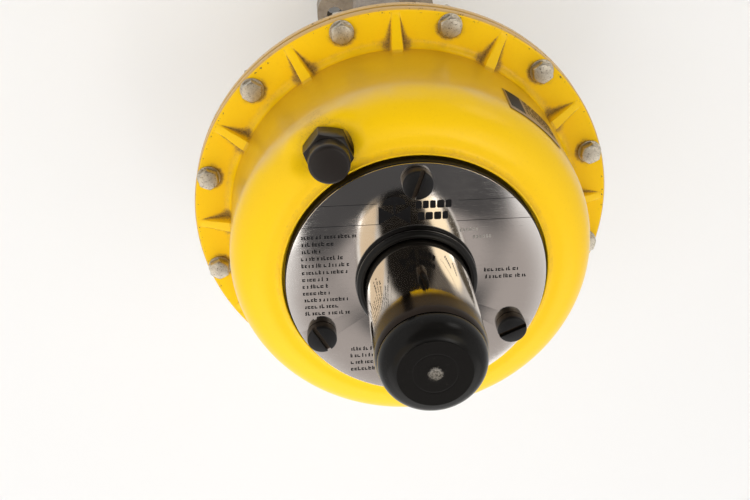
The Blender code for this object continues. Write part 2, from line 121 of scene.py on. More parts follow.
def piece(mesh, name, look, body, *replaced, sharp=32):
    """Makes an object of a bmesh, gives it its material and body, and hides the CAD nodes that it stands
    for.
    """
    bmesh.ops.remove_doubles(mesh, verts=mesh.verts, dist=1e-7)
    bmesh.ops.recalc_face_normals(mesh, faces=mesh.faces)
    data = bpy.data.meshes.new(name)
    mesh.to_mesh(data)
    mesh.free()
    data.shade_smooth()
    data.set_sharp_from_angle(angle=radians(sharp))
    made = bpy.data.objects.new(name, data)
    bpy.context.scene.collection.objects.link(made)
    if look:
        data.materials.append(look)
    if body:
        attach(made, body)
    if replaced:
        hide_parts(*replaced)
    return made


def lathe(outline, segments):
    """Turns a closed outline of (radius, height) points about the Z axis."""
    mesh = bmesh.new()
    rings = []
    for radius, height in outline:
        turns = [2 * pi * i / segments for i in range(segments)] if radius > 1e-9 else [0]
        rings.append([mesh.verts.new((radius * sin(a), radius * cos(a), height)) for a in turns])
    for first, second in zip(rings, rings[1:] + rings[:1]):
        for i in range(segments):
            j = (i + 1) % segments
            corners = [first[i % len(first)], first[j % len(first)],
                       second[j % len(second)], second[i % len(second)]]
            corners = list(dict.fromkeys(corners))
            if len(corners) > 2:
                mesh.faces.new(corners)
    return mesh


def arc(centre, radius, start, end, count):
    """Points of an arc in the (radius, height) plane, from start to end degrees."""
    steps = [radians(start + (end - start) * i / count) for i in range(count + 1)]
    return [(centre[0] + radius * cos(a), centre[1] + radius * sin(a)) for a in steps]


def softened(outline, radius):
    """The same closed outline with each corner rounded off, where its sides are long enough."""
    count = 3
    points = []
    for i, corner in enumerate(outline):
        here = Vector(corner)
        before, after = Vector(outline[i - 1]) - here, Vector(outline[(i + 1) % len(outline)]) - here
        on_axis = corner[0] < 1e-9
        reach = min(radius, before.length * 0.45, after.length * 0.45)
        if on_axis or reach < 1e-6:
            points.append(corner)
            continue
        start, end = here + before.normalized() * reach, here + after.normalized() * reach
        for k in range(count + 1):
            t = k / count
            points.append(tuple(start * (1 - t) ** 2 + here * (2 * t * (1 - t)) + end * t ** 2))
    return points


def prism(outline, low, high, mesh=None):
    """A flat (x, y) outline raised from height low to height high."""
    mesh = mesh or bmesh.new()
    bottom = [mesh.verts.new((x, y, low)) for x, y in outline]
    top = [mesh.verts.new((x, y, high)) for x, y in outline]
    mesh.faces.new(bottom)
    mesh.faces.new(top)
    for i in range(len(outline)):
        j = (i + 1) % len(outline)
        mesh.faces.new((bottom[i], bottom[j], top[j], top[i]))
    return mesh


def circle(radius, count, centre=(0, 0), turn=0.0):
    turns = [2 * pi * i / count + turn for i in range(count)]
    return [(centre[0] + radius * sin(a), centre[1] + radius * cos(a)) for a in turns]


def corner_radius(flats):
    """Radius of the circle through the corners of a hexagon this wide across its flats."""
    return flats / 2 / cos(pi / 6)


def rounded(x, y, radius, count, centre):
    """A rectangle of half sizes x and y with rounded corners."""
    points = []
    for corner, (sx, sy) in enumerate(((1, 1), (-1, 1), (-1, -1), (1, -1))):
        for i in range(count + 1):
            a = pi / 2 * (corner + i / count)
            points.append((centre[0] + sx * (x - radius) + radius * cos(a),
                           centre[1] + sy * (y - radius) + radius * sin(a)))
    return points


def moved(mesh, matrix):
    bmesh.ops.transform(mesh, matrix=matrix, verts=mesh.verts)
    return mesh


def joined(*meshes):
    """One bmesh that holds all of these."""
    whole = bmesh.new()
    for mesh in meshes:
        data = bpy.data.meshes.new("part")
        mesh.to_mesh(data)
        mesh.free()
        whole.from_mesh(data)
        bpy.data.meshes.remove(data)
    return whole


def applied(target):
    """Gives target the mesh that its modifiers make, and takes them off."""
    graph = bpy.context.evaluated_depsgraph_get()
    result = bpy.data.meshes.new_from_object(target.evaluated_get(graph), depsgraph=graph)
    target.modifiers.clear()
    old = target.data
    target.data = result
    bpy.data.meshes.remove(old)


def boolean(target, mesh, operation, sharp=32):
    """Cuts, joins or intersects target with a bmesh, and applies the result."""
    bmesh.ops.recalc_face_normals(mesh, faces=mesh.faces)
    data = bpy.data.meshes.new("tool")
    mesh.to_mesh(data)
    mesh.free()
    tool = bpy.data.objects.new("tool", data)
    bpy.context.scene.collection.objects.link(tool)
    change = target.modifiers.new("change", "BOOLEAN")
    change.operation = operation
    change.solver = "EXACT"
    change.object = tool
    applied(target)
    bpy.data.objects.remove(tool)
    bpy.data.meshes.remove(data)
    target.data.shade_smooth()
    target.data.set_sharp_from_angle(angle=radians(sharp))


def bevelled(target, width, segments, angle):
    """Rounds an object's edges, and applies the result."""
    change = target.modifiers.new("edges", "BEVEL")
    change.width = width
    change.segments = segments
    change.limit_method = "ANGLE"
    change.angle_limit = radians(angle)
    change.harden_normals = True
    applied(target)


def bolt_places():
    turns = [2 * pi * (i + 0.5) / BOLTS for i in range(BOLTS)]
    return [(BOLT_CIRCLE * sin(a), BOLT_CIRCLE * cos(a)) for a in turns]


def middle(node):
    low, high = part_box(node)
    return (low + high) / 2


def bolt_holes(mesh, low, high):
    for place in bolt_places():
        prism(circle(BOLT_HOLE_R, 16, place), low, high, mesh)
    return mesh


def screw_holes(mesh, radius, sides, low, high):
    """Holes for the three screws that hold the cover and the plate."""
    for number in (1, 2, 3):
        screw = middle(f"cover_screw_{number}")
        prism(circle(radius, sides, (screw.x, screw.y)), low, high, mesh)
    return mesh


# ---------------------------------------------------------------- materials

def feed(tree, socket, value):
    """Links an output to the socket, or sets a plain value on it."""
    if hasattr(value, "is_output"):
        tree.links.new(value, socket)
    else:
        socket.default_value = value


class Look:
    """A Principled material; its colour, roughness and bump come from noise in the part's own metres."""

    def __init__(self, name, colour, roughness, metallic=0.0, **sockets):
        self.material = bpy.data.materials.new(name)
        self.material.use_nodes = True
        self.tree = self.material.node_tree
        self.shader = self.tree.nodes["Principled BSDF"]
        self.shader.inputs["Metallic"].default_value = metallic
        self.shader.inputs["Roughness"].default_value = roughness
        self.shader.inputs["Base Color"].default_value = (*colour, 1)
        for socket, value in sockets.items():
            self.shader.inputs[socket.replace("_", " ")].default_value = value
        self.place = self.node("ShaderNodeTexCoord").outputs["Object"]
        self.colour = (*colour, 1)
        self.roughness = roughness
        self.height = None

    def node(self, kind, **settings):
        made = self.tree.nodes.new(kind)
        for name, value in settings.items():
            setattr(made, name, value)
        return made

    def feed(self, socket, value):
        feed(self.tree, socket, value)

    def math(self, operation, first, second=0.0, third=None, clamp=False):
        made = self.node("ShaderNodeMath", operation=operation, use_clamp=clamp)
        self.feed(made.inputs[0], first)
        self.feed(made.inputs[1], second)
        if third is not None:
            self.feed(made.inputs[2], third)
        return made.outputs[0]

    def stretched(self, scale, turn=(0, 0, 0)):
        made = self.node("ShaderNodeMapping")
        made.inputs["Scale"].default_value = scale
        made.inputs["Rotation"].default_value = turn
        self.feed(made.inputs["Vector"], self.place)
        return made.outputs[0]

    def noise(self, size, detail=3.0, rough=0.55, place=None):
        """Noise from 0 to 1 whose blobs are about this many metres across."""
        made = self.node("ShaderNodeTexNoise")
        made.inputs["Scale"].default_value = 1 / size
        made.inputs["Detail"].default_value = detail
        made.inputs["Roughness"].default_value = rough
        self.feed(made.inputs["Vector"], place or self.place)
        return made.outputs[0]

    def ramp(self, value, low, high):
        """0 below low, 1 above high, smooth between."""
        made = self.node("ShaderNodeMapRange", interpolation_type="SMOOTHSTEP")
        self.feed(made.inputs["Value"], value)
        made.inputs["From Min"].default_value = low
        made.inputs["From Max"].default_value = high
        return made.outputs[0]

    def patches(self, low, high, *noise):
        """Noise cut into separate patches."""
        return self.ramp(self.noise(*noise), low, high)

    def level(self):
        """Height above the ground."""
        split = self.node("ShaderNodeSeparateXYZ")
        self.feed(split.inputs[0], self.place)
        return split.outputs["Z"]

    def attribute(self, name):
        return self.node("ShaderNodeAttribute", attribute_name=name).outputs["Fac"]

    def tint(self, mask, colour, share=None):
        """Mixes this colour in where the mask is 1, or only this share of it."""
        if share is not None:
            mask = self.math("MULTIPLY", mask, share)
        made = self.node("ShaderNodeMix", data_type="RGBA")
        self.feed(made.inputs[0], mask)
        self.feed(made.inputs[6], self.colour)
        self.feed(made.inputs[7], (*colour, 1))
        self.colour = made.outputs[2]

    def roughen(self, mask, amount):
        """Adds this much roughness where the mask is 1."""
        self.roughness = self.math("MULTIPLY_ADD", mask, amount, self.roughness)

    def raise_by(self, mask, metres):
        """Adds this height to the bump where the mask is 1."""
        step = self.math("MULTIPLY", mask, metres)
        self.height = step if self.height is None else self.math("ADD", self.height, step)

    def done(self):
        self.feed(self.shader.inputs["Base Color"], self.colour)
        self.feed(self.shader.inputs["Roughness"], self.roughness)
        if self.height is not None:
            bump = self.node("ShaderNodeBump")
            bump.inputs["Strength"].default_value = 1.0
            bump.inputs["Distance"].default_value = 1.0
            self.feed(bump.inputs["Height"], self.height)
            self.tree.links.new(bump.outputs[0], self.shader.inputs["Normal"])
        return self.material


def yellow_enamel():
    """Glossy yellow paint over a casting: faint orange peel, dirt and painted shade in the corners and round
    the bolts, painted shade on the wall, a painted sheen where the wall turns into the shoulder and on the
    flanges' rims, chips along the edges.
    """
    look = Look("yellow_enamel", (0.94, 0.605, 0.006), 0.28, Specular_IOR_Level=0.22)
    look.tint(look.noise(0.05, 4), (0.88, 0.52, 0.006), 0.30)
    look.tint(look.patches(0.52, 0.72, 0.0014, 5, 0.8), (0.70, 0.38, 0.015), 0.22)
    look.tint(look.patches(0.668, 0.73, 0.0016, 6, 0.75), (0.16, 0.08, 0.01), 0.55)
    # Painted shade: the wall below the shoulder tinted brown, unevenly, fading out into the shoulder.
    uneven = look.math("MULTIPLY_ADD", look.noise(0.02, 4), 0.5, 0.75)
    look.tint(look.math("MULTIPLY", look.attribute("shade_wash"), uneven, clamp=True), (0.50, 0.25, 0.02))
    # Painted sheen: a pale tan band, in broad patches, where the wall turns into the shoulder.
    sheen_band = look.math("MULTIPLY", look.patches(0.35, 0.65, 0.05, 3), 0.45)
    look.tint(look.attribute("sheen_band"), (0.70, 0.52, 0.27), sheen_band)
    # Painted sheen and shade: the flanges' rims tinted pale tan.
    look.tint(look.ramp(look.attribute("rim"), 0.4, 0.9), (0.50, 0.31, 0.18), 0.65)
    # Dirt mixed with painted shade: darkening in the corners by the webs, along the wall's foot, round the
    # bolts on their wall side and on the lip, broken up by noise.
    dirt_and_shade = look.attribute("grime_and_shade")
    shade_wash = look.math("MULTIPLY_ADD", look.noise(0.006, 5, 0.7), 0.9, dirt_and_shade)
    soft = look.math("MULTIPLY", look.ramp(shade_wash, 0.62, 1.35), 0.50)
    look.tint(soft, (0.42, 0.23, 0.05))
    speckle = look.math("MULTIPLY_ADD", look.noise(0.0010, 5, 0.85), 2.4, dirt_and_shade)
    look.tint(look.ramp(speckle, 1.62, 2.25), (0.20, 0.11, 0.045), 0.62)
    dark = look.math("MULTIPLY_ADD", look.noise(0.0008, 5, 0.8), 1.5, dirt_and_shade)
    hard = look.math("MULTIPLY", look.ramp(dark, 1.55, 2.0), 0.80)
    look.tint(hard, (0.040, 0.026, 0.018))
    look.roughen(hard, 0.5)
    look.roughen(soft, 0.2)
    worn = look.math("MULTIPLY_ADD", look.noise(0.0028, 5, 0.75), 1.25, look.attribute("edge"))
    chip = look.ramp(worn, 1.62, 1.66)
    look.tint(chip, (0.13, 0.085, 0.045))
    look.roughen(chip, 0.45)
    look.raise_by(look.noise(0.0032, 2), 0.00005)
    look.raise_by(look.noise(0.0011, 3), 0.000020)
    look.raise_by(chip, -0.00008)
    return look.done()


def bolt_steel():
    """Plain steel gone dull and grey-brown, with small dark pits."""
    look = Look("bolt_steel", (0.60, 0.555, 0.47), 0.30, 1.0)
    look.tint(look.patches(0.44, 0.66, 0.0024, 5, 0.8), (0.45, 0.405, 0.33))
    pits = look.patches(0.57, 0.63, 0.0010, 4, 0.8)
    look.tint(pits, (0.15, 0.12, 0.09))
    look.roughen(look.noise(0.0015, 4), 0.16)
    look.raise_by(look.noise(0.0009, 3, 0.6), 0.000022)
    look.raise_by(pits, -0.00004)
    return look.done()


def mirror_plate():
    """Polished plate with fine scratches that run mostly one way, and a few smears."""
    look = Look("mirror_plate", (0.70, 0.675, 0.655), 0.075, 1.0)
    along = look.stretched((1.0, 24.0, 1.0), (0, 0, radians(32)))
    scratch = look.patches(0.57, 0.74, 0.008, 5, 0.75, along)
    across = look.stretched((1.0, 40.0, 1.0), (0, 0, radians(-20)))
    fine = look.patches(0.60, 0.72, 0.006, 4, 0.7, across)
    look.tint(scratch, (0.86, 0.86, 0.87), 0.20)
    look.roughen(scratch, 0.07)
    look.roughen(fine, 0.07)
    look.roughen(look.patches(0.45, 0.75, 0.03, 4, 0.6), 0.06)
    look.tint(look.patches(0.70, 0.76, 0.0014, 4, 0.8), (0.30, 0.27, 0.24), 0.5)
    look.raise_by(scratch, 0.0000025)
    look.raise_by(fine, 0.0000025)
    return look.done()


def polished_tube():
    """Drawn and polished tube, scratched along its length, darker and rougher next to the cap."""
    look = Look("polished_tube", (0.68, 0.63, 0.56), 0.05, 1.0)
    drawn = look.noise(0.004, 5, 0.7, look.stretched((9.0, 9.0, 0.5)))
    look.tint(look.ramp(drawn, 0.52, 0.72), (0.42, 0.37, 0.31), 0.22)
    look.roughen(look.ramp(drawn, 0.50, 0.80), 0.09)
    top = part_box("stem_tube")[1].z
    # Darker and rougher towards the cap, in two steps.
    uneven = look.math("MULTIPLY_ADD", look.noise(0.012, 3), 0.004, look.level())
    look.tint(look.ramp(uneven, top - 0.0205, top - 0.0105), (0.046, 0.036, 0.029))
    look.tint(look.ramp(uneven, top - 0.006, top), (0.03, 0.023, 0.019))
    look.roughen(look.ramp(uneven, top - 0.018, top - 0.008), 0.18)
    look.raise_by(drawn, 0.000004)
    look.raise_by(look.noise(0.018, 2), 0.00002)
    return look.done()


def black_moulding(name, roughness, colour, specular):
    """Moulded black plastic, scuffed grey here and there."""
    look = Look(name, colour, roughness, Specular_IOR_Level=specular)
    scuff = look.patches(0.58, 0.78, 0.004, 6, 0.75)
    look.tint(scuff, (0.05, 0.046, 0.042), 0.22)
    worn = look.math("MULTIPLY_ADD", look.noise(0.0011, 6, 0.85), 1.1, look.attribute("wear"))
    look.tint(look.ramp(worn, 1.22, 1.50), (0.28, 0.26, 0.23), 0.8)
    look.roughen(scuff, 0.10)
    look.raise_by(look.noise(0.0012, 4, 0.6), 0.000006)
    look.raise_by(look.noise(0.010, 3, 0.6), 0.00003)
    return look.done()


def rubber():
    look = Look("black_rubber", (0.005, 0.0048, 0.0045), 0.24, Specular_IOR_Level=0.2)
    look.tint(look.patches(0.58, 0.80, 0.003, 5, 0.7), (0.03, 0.027, 0.024), 0.2)
    look.roughen(look.noise(0.003, 4), 0.15)
    look.raise_by(look.noise(0.0010, 4, 0.6), 0.000012)
    return look.done()


def blackened_steel():
    look = Look("blackened_steel", (0.020, 0.020, 0.021), 0.30, 0.85)
    look.tint(look.patches(0.52, 0.70, 0.0024, 6, 0.75), (0.16, 0.085, 0.04), 0.25)
    look.tint(look.patches(0.62, 0.74, 0.0009, 5, 0.8), (0.16, 0.14, 0.12), 0.3)
    look.roughen(look.noise(0.0016, 4), 0.18)
    look.raise_by(look.noise(0.0008, 4, 0.7), 0.00005)
    return look.done()


def screw_steel():
    """Blackened like the cover, with dried rust in the slots and down the heads' sides."""
    look = Look("blackened_screws", (0.020, 0.020, 0.021), 0.30, 0.85)
    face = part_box("cover_screw_1")[1].z
    deep = look.math("SUBTRACT", 1.0, look.ramp(look.level(), face - 0.0024, face - 0.0012))
    mottled = look.math("MULTIPLY_ADD", look.noise(0.0018, 5, 0.75), 1.2, -0.1, clamp=True)
    rust = look.math("MULTIPLY", deep, mottled)
    look.tint(rust, (0.10, 0.072, 0.048))
    look.tint(look.patches(0.60, 0.74, 0.0011, 5, 0.8), (0.14, 0.12, 0.10), 0.3)
    look.roughen(rust, 0.3)
    look.roughen(look.noise(0.0016, 4), 0.12)
    look.raise_by(look.noise(0.0008, 4, 0.7), 0.00002)
    return look.done()


def bare_casting():
    """Blasted grey casting, slightly warm, with a coarse skin."""
    look = Look("bare_casting", (0.40, 0.355, 0.31), 0.52, 0.35)
    look.tint(look.patches(0.40, 0.72, 0.012, 5, 0.65), (0.27, 0.235, 0.20))
    look.tint(look.patches(0.58, 0.72, 0.0022, 5, 0.75), (0.12, 0.095, 0.07), 0.6)
    look.roughen(look.noise(0.003, 4), 0.2)
    look.raise_by(look.noise(0.0016, 5, 0.65), 0.00022)
    look.raise_by(look.noise(0.010, 3), 0.0003)
    return look.done()


def foil(name, colour):
    look = Look(name, colour, 0.28, 0.9)
    brushed = look.noise(0.004, 4, 0.6, look.stretched((4.0, 4.0, 60.0)))
    look.tint(brushed, tuple(c * 0.55 for c in colour), 0.5)
    look.roughen(brushed, 0.15)
    look.raise_by(look.noise(0.006, 3), 0.00004)
    return look.done()


def plain_metal(name, colour, roughness, grain=0.002):
    look = Look(name, colour, roughness, 1.0)
    look.tint(look.patches(0.42, 0.72, grain * 3, 5, 0.7), tuple(c * 0.6 for c in colour))
    look.roughen(look.noise(grain, 4), 0.2)
    look.raise_by(look.noise(grain / 2, 3), 0.00003)
    return look.done()


def ink():
    look = Look("printing_ink", (0.006, 0.006, 0.007), 0.40, Specular_IOR_Level=0.12)
    look.tint(look.patches(0.58, 0.72, 0.0012, 5, 0.8), (0.16, 0.155, 0.15), 0.25)
    look.roughen(look.noise(0.002, 3), 0.1)
    return look.done()


YELLOW = yellow_enamel()
STEEL = bolt_steel()
MIRROR = mirror_plate()
TUBE = polished_tube()
CAP = black_moulding("black_cap", 0.22, (0.0060, 0.0057, 0.0055), 0.14)
PLUG = black_moulding("black_plug", 0.32, (0.015, 0.012, 0.011), 0.24)
RUBBER = rubber()
BLACK = blackened_steel()
SCREW = screw_steel()
CAST = bare_casting()
LABEL = foil("label_foil", (0.33, 0.23, 0.115))
SCALE = foil("scale_foil", (0.62, 0.61, 0.58))
BRASS = plain_metal("machined_brass", (0.62, 0.43, 0.17), 0.28)
SPRING = plain_metal("coated_spring", (0.10, 0.11, 0.13), 0.35, 0.003)
INK = ink()
STAMP = plain_metal("stamped_marks", (0.42, 0.40, 0.38), 0.5)


# ---------------------------------------------------------------- casings

def sector_turns():
    """Azimuths of the casing's columns, in radians: dense at the webs' sides, even between them."""
    near = [radians(d) for d in (0.55, 1.1, 1.32, 1.46, 1.60, 1.74, 1.95, 2.4)]
    between = [radians(2.4 + (15 - 2.4) * i / 9) for i in range(1, 10)]
    half = near + between
    sector = sorted([0.0] + half + [-a for a in half[:-1]])
    return [2 * pi * i / BOLTS + a for i in range(BOLTS) for a in sector]


def resample(points, count):
    """The same open line as count points, evenly spread along it."""
    line = np.array(points)
    run = np.concatenate([[0], np.cumsum(np.hypot(*np.diff(line, axis=0).T))])
    at = np.linspace(0, run[-1], count)
    return np.column_stack([np.interp(at, run, line[:, k]) for k in (0, 1)])


def new_layers(mesh, names):
    """Adds layers of numbers on the points, which materials read as attributes."""
    for name in names:
        mesh.verts.layers.float.new(name)
    return [mesh.verts.layers.float[name] for name in names]


def smooth(t):
    """0 below 0, 1 above 1, smooth between."""
    t = min(max(t, 0.0), 1.0)
    return t * t * (3 - 2 * t)


def upper_casing():
    """One skin whose section changes round the axis: webs on the flange, and a pad under the vent plug."""
    low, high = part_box("upper_casing")
    edge_r, bottom, rim = high.x, low.z, high.z
    cover_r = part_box("spring_cover")[1].x + 0.0014
    inner = WALL_R - WALL_T
    shoulder = (WALL_R - SHOULDER_R, SHOULDER_Z)
    vent = middle("vent_plug")
    vent_turn = atan2(vent.x, vent.y)

    edge = arc((edge_r - EDGE_ROUND, FLANGE_TOP - EDGE_ROUND), EDGE_ROUND, 0, 90, 5)
    foot = [(edge_r - 0.002, FLANGE_TOP), (WALL_R + 0.0050, FLANGE_TOP)]
    foot += arc((WALL_R + 0.0050, FLANGE_TOP + 0.0042), 0.0042, -90, -172, 8)
    foot += [(WALL_R + 0.0005, FLANGE_TOP + 0.010)]
    web = [(edge_r - 0.002, FLANGE_TOP), (edge_r - 0.0035, FLANGE_TOP + 0.0004)]
    web += [(WALL_R + 0.0028, FLANGE_TOP + RIB_RISE - 0.0008)]
    web += arc((WALL_R + 0.0028, FLANGE_TOP + RIB_RISE + 0.0012), 0.0020, -90, -165, 4)
    web += [(WALL_R + 0.0005, FLANGE_TOP + 0.0125)]
    foot, web = resample(foot, 34), resample(web, 34)

    plain = [(WALL_R + 0.0004, FLANGE_TOP + 0.0130)] + arc(shoulder, SHOULDER_R, 0, 90, 22)
    plain += [CROWN]
    pad = [(WALL_R + 0.0004, FLANGE_TOP + 0.0130), (WALL_R, VENT_SEAT - 0.012)]
    pad += arc((WALL_R - 0.006, VENT_SEAT - 0.006), 0.006, 0, 82, 8)
    pad += [(0.088, VENT_SEAT + 0.0008), (0.0790, 0.2742), CROWN]
    plain, pad = resample(plain, 44), resample(pad, 44)

    lip = arc((CROWN[0], 0.2786), 0.0034, -90, -165, 5)[1:] + [(0.0717, rim - 0.0006)]
    lip += arc((cover_r + 0.0006, rim - 0.0006), 0.0006, 20, 180, 5)
    inside = [(cover_r, COVER_SEAT), (0.048, COVER_SEAT), (0.048, 0.2620)]
    inside += arc(shoulder, SHOULDER_R - WALL_T, 32, 0, 6)
    inside += [(inner, bottom), (edge_r - 0.0004, bottom), (edge_r, bottom + 0.0004)]

    mesh = bmesh.new()
    names = ("grime_and_shade", "edge", "shade_wash", "sheen_band", "rim")
    grime_and_shade_layer, edge_layer, shade_wash_layer, sheen_band_layer, rim_layer = new_layers(mesh, names)
    columns = []
    for turn in sector_turns():
        off_web = abs((turn + pi / BOLTS) % (2 * pi / BOLTS) - pi / BOLTS)
        off_vent = abs((turn - vent_turn + pi) % (2 * pi) - pi)
        pad_share = 1 - smooth((degrees(off_vent) - 7.0) / 8.0)
        column = [(*p, 0.0, 0.85) for p in edge]
        rims = len(column) - 2
        for k, (base, top) in enumerate(zip(foot, web)):
            side = off_web * base[0] - web_half(base[0])
            share = 1 - smooth((side + 0.0006) / 0.0012)
            point = base * (1 - share) + top * share
            grime_and_shade = corner_dirt_and_shade(turn, side, base[0], base[1] - FLANGE_TOP) * (1 - share)
            column.append((point[0], point[1], grime_and_shade, max(0.0, 0.9 - k * 0.12)))
        for k, (base, top) in enumerate(zip(plain, pad)):
            point = base * (1 - pad_share) + top * pad_share
            column.append((point[0], point[1], vent_base_shade(turn, point, vent), 0.0))
        # The lip round the cover gets a share of the dirt and painted shade, and some edge wear.
        column += [(*p, 0.35, 0.25) for p in lip]
        column += [(*p, 0.0, 0.0) for p in inside]
        ring = []
        for k, (radius, height, grime_and_shade, chip) in enumerate(column):
            vert = mesh.verts.new((radius * sin(turn), radius * cos(turn), height))
            vert[grime_and_shade_layer] = grime_and_shade
            vert[edge_layer] = chip
            on_wall = WALL_R - SHOULDER_R < radius < WALL_R + 0.002 and height > FLANGE_TOP + 0.004
            # Painted shade on the wall, fading out where it turns into the shoulder.
            vert[shade_wash_layer] = on_wall * 0.50 * smooth((SHOULDER_Z + 0.008 - height) / 0.012)
            # Painted sheen band along the top of the wall and the foot of the shoulder.
            vert[sheen_band_layer] = on_wall * smooth(1.3 - abs(height - SHOULDER_Z - 0.004) / 0.008)
            vert[rim_layer] = k < rims or k == len(column) - 1
            ring.append(vert)
        columns.append(ring)
    for first, second in zip(columns, columns[1:] + columns[:1]):
        for k in range(len(first)):
            j = (k + 1) % len(first)
            mesh.faces.new((first[k], first[j], second[j], second[k]))
    case = piece(mesh, "painted_upper_casing", YELLOW, "frame", "upper_casing", sharp=50)
    centre = (vent.x, vent.y)
    boolean(case, prism(circle(SPOT_R, 64, centre), VENT_SEAT, 0.29), "DIFFERENCE", 40)
    holes = bmesh.new()
    prism(circle(0.0068, 32, centre), 0.24, 0.29, holes)
    bolt_holes(holes, 0.18, 0.1995)
    screw_holes(holes, 0.0052, 20, 0.25, 0.275)
    boolean(case, holes, "DIFFERENCE", 40)


def web_half(radius):
    """Half of a web's width: it narrows towards the flange's edge."""
    return 0.0034 - 0.055 * (radius - WALL_R)


def corner_dirt_and_shade(turn, side, radius, rise):
    """How dark the flange is painted here: dirt and painted shade fill the corners between web and wall,
    line the wall's foot, and ring the bolts, most on their side towards the wall.
    """
    reach = 0.0062 * min(1.0, max(0.05, 1 - (radius - WALL_R - 0.002) / 0.0175))
    corner = smooth(1.15 - side / reach)
    wall_foot = 0.40 * smooth(1 - abs(radius - WALL_R - 0.004) / 0.005)
    sector = 2 * pi / BOLTS
    off_bolt = (turn % sector - sector / 2) * radius
    gap = hypot(off_bolt, radius - BOLT_CIRCLE)
    # Painted shade with the dirt: the rings are darker on the bolts' side towards the wall.
    inward = smooth(0.5 + (BOLT_CIRCLE - radius) / 0.010)
    ring = (0.35 + 1.00 * inward) * smooth(1 - (gap - 0.0066) / 0.0034)
    return min(1.0, corner + wall_foot + ring) * smooth(1 - rise / 0.012)


def vent_base_shade(turn, point, vent):
    # Painted shade: a darker ring on the shoulder round the vent plug's base.
    gap = hypot(point[0] * sin(turn) - vent.x, point[0] * cos(turn) - vent.y)
    return 0.5 * smooth(1 - (gap - 0.013) / 0.006) * (point[1] > SHOULDER_Z)


def lower_casing():
    low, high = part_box("lower_casing")
    top, edge_r = high.z, high.x
    bottom = top - 0.0056
    neck, bore = 0.024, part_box("lower_bush")[1].x + GAP
    outline = [(edge_r - 0.0004, top), (0.097, top), (0.0955, top - 0.002), (0.0905, 0.158)]
    outline += arc((0.0820, 0.158), 0.009, -10, -90, 8)
    outline += [(bore, 0.149), (bore, low.z), (neck - 0.001, low.z), (neck, low.z + 0.001)]
    outline += [(neck, 0.144), (0.083, 0.144)]
    outline += arc((0.0835, 0.156), 0.012, -88, -12, 12)
    outline += [(0.0990, 0.178)] + arc((0.1038, bottom - 0.0045), 0.0045, 175, 92, 6)
    outline += arc((edge_r - EDGE_ROUND, bottom + EDGE_ROUND), EDGE_ROUND, -90, 0, 5)
    outline += [(edge_r, top - 0.0004)]
    mesh = lathe(outline, 192)
    grime_and_shade, edge, rim = new_layers(mesh, ("grime_and_shade", "edge", "rim"))
    for vert in mesh.verts:
        radius = hypot(vert.co.x, vert.co.y)
        vert[rim] = radius > edge_r - 0.0006
        # Darkening through the dirt and shade tint: more towards the bottom and round the wall's radius.
        vert[grime_and_shade] = 0.45 * smooth((0.150 - vert.co.z) / 0.02) + 0.4 * (abs(radius - WALL_R) < 0.004)
        vert[edge] = 0.85 if radius > edge_r - 0.002 else 0.0
    case = piece(mesh, "painted_lower_casing", YELLOW, "frame", "lower_casing", sharp=50)
    inlet = middle("air_inlet_fitting")
    side_on = Matrix.Translation((0, 0, inlet.z)) @ Matrix.Rotation(pi / 2, 4, "X")
    boss = softened([(0, 0.0937), (0.0150, 0.0937), (0.0118, 0.1000), (0.0110, 0.1060), (0, 0.1060)], 0.0008)
    boolean(case, moved(lathe(boss, 48), side_on), "UNION", 40)
    boolean(case, moved(prism(circle(0.0066, 32), 0.080, 0.12), side_on), "DIFFERENCE", 40)
    boolean(case, bolt_holes(bmesh.new(), 0.17, 0.2), "DIFFERENCE", 40)


def diaphragm():
    """Rubber disc clamped in the flange; its middle lies under the plate and rises with the stem."""
    low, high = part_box("diaphragm")
    flat, bead = low.z + DIAPHRAGM_T, high.z - DIAPHRAGM_T
    outline = [(STEM_BORE, low.z), (0.0815, low.z), (0.0845, low.z + 0.0012)]
    outline += [(0.0868, 0.1620), (0.0930, 0.1860), (0.0965, bead)]
    outline += [(high.x, bead), (high.x, high.z), (0.0957, high.z), (0.0916, 0.1862)]
    outline += [(0.0854, 0.1624), (0.0836, flat + 0.0008), (0.0811, flat), (STEM_BORE, flat)]
    disc = piece(lathe(softened(outline, 0.0008), 128), "folded_diaphragm", RUBBER, None, sharp=50)
    boolean(disc, bolt_holes(bmesh.new(), 0.17, 0.2), "DIFFERENCE", 50)
    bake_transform(disc, "frame", "stem_assembly", start=(0, 0, 0.186), end=(0, 0, 0.160))
    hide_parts("diaphragm")


def springs():
    """Two wound springs with closed end turns, between plate and cover, fixed to the frame at one length."""
    for name, wire, turns in (("outer_spring", *OUTER_SPRING), ("inner_spring", *INNER_SPRING)):
        low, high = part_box(name)
        mean = high.x - wire / 2
        closed, steps, sides = 0.75, 40, 14
        length = high.z - low.z
        rise = (length - wire - 2 * closed * wire) / (turns - 2 * closed)
        mesh = bmesh.new()
        rings = []
        for i in range(int(turns * steps) + 1):
            t = i / steps
            laid = min(t, closed) + max(0, t - (turns - closed))
            height = low.z + wire / 2 + laid * wire + min(max(t - closed, 0), turns - 2 * closed) * rise
            ring = []
            for k in range(sides):
                a = 2 * pi * k / sides
                reach = mean + wire / 2 * cos(a) * 0.98
                ring.append(mesh.verts.new((reach * sin(2 * pi * t), reach * cos(2 * pi * t),
                                            height + wire / 2 * sin(a) * 0.98)))
            rings.append(ring)
        for first, second in zip(rings, rings[1:]):
            for k in range(sides):
                j = (k + 1) % sides
                mesh.faces.new((first[k], first[j], second[j], second[k]))
        mesh.faces.new(rings[0])
        mesh.faces.new(rings[-1])
        coil = piece(mesh, f"wound_{name}", SPRING, "frame", name)
        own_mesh(coil)


# ---------------------------------------------------------------- fasteners

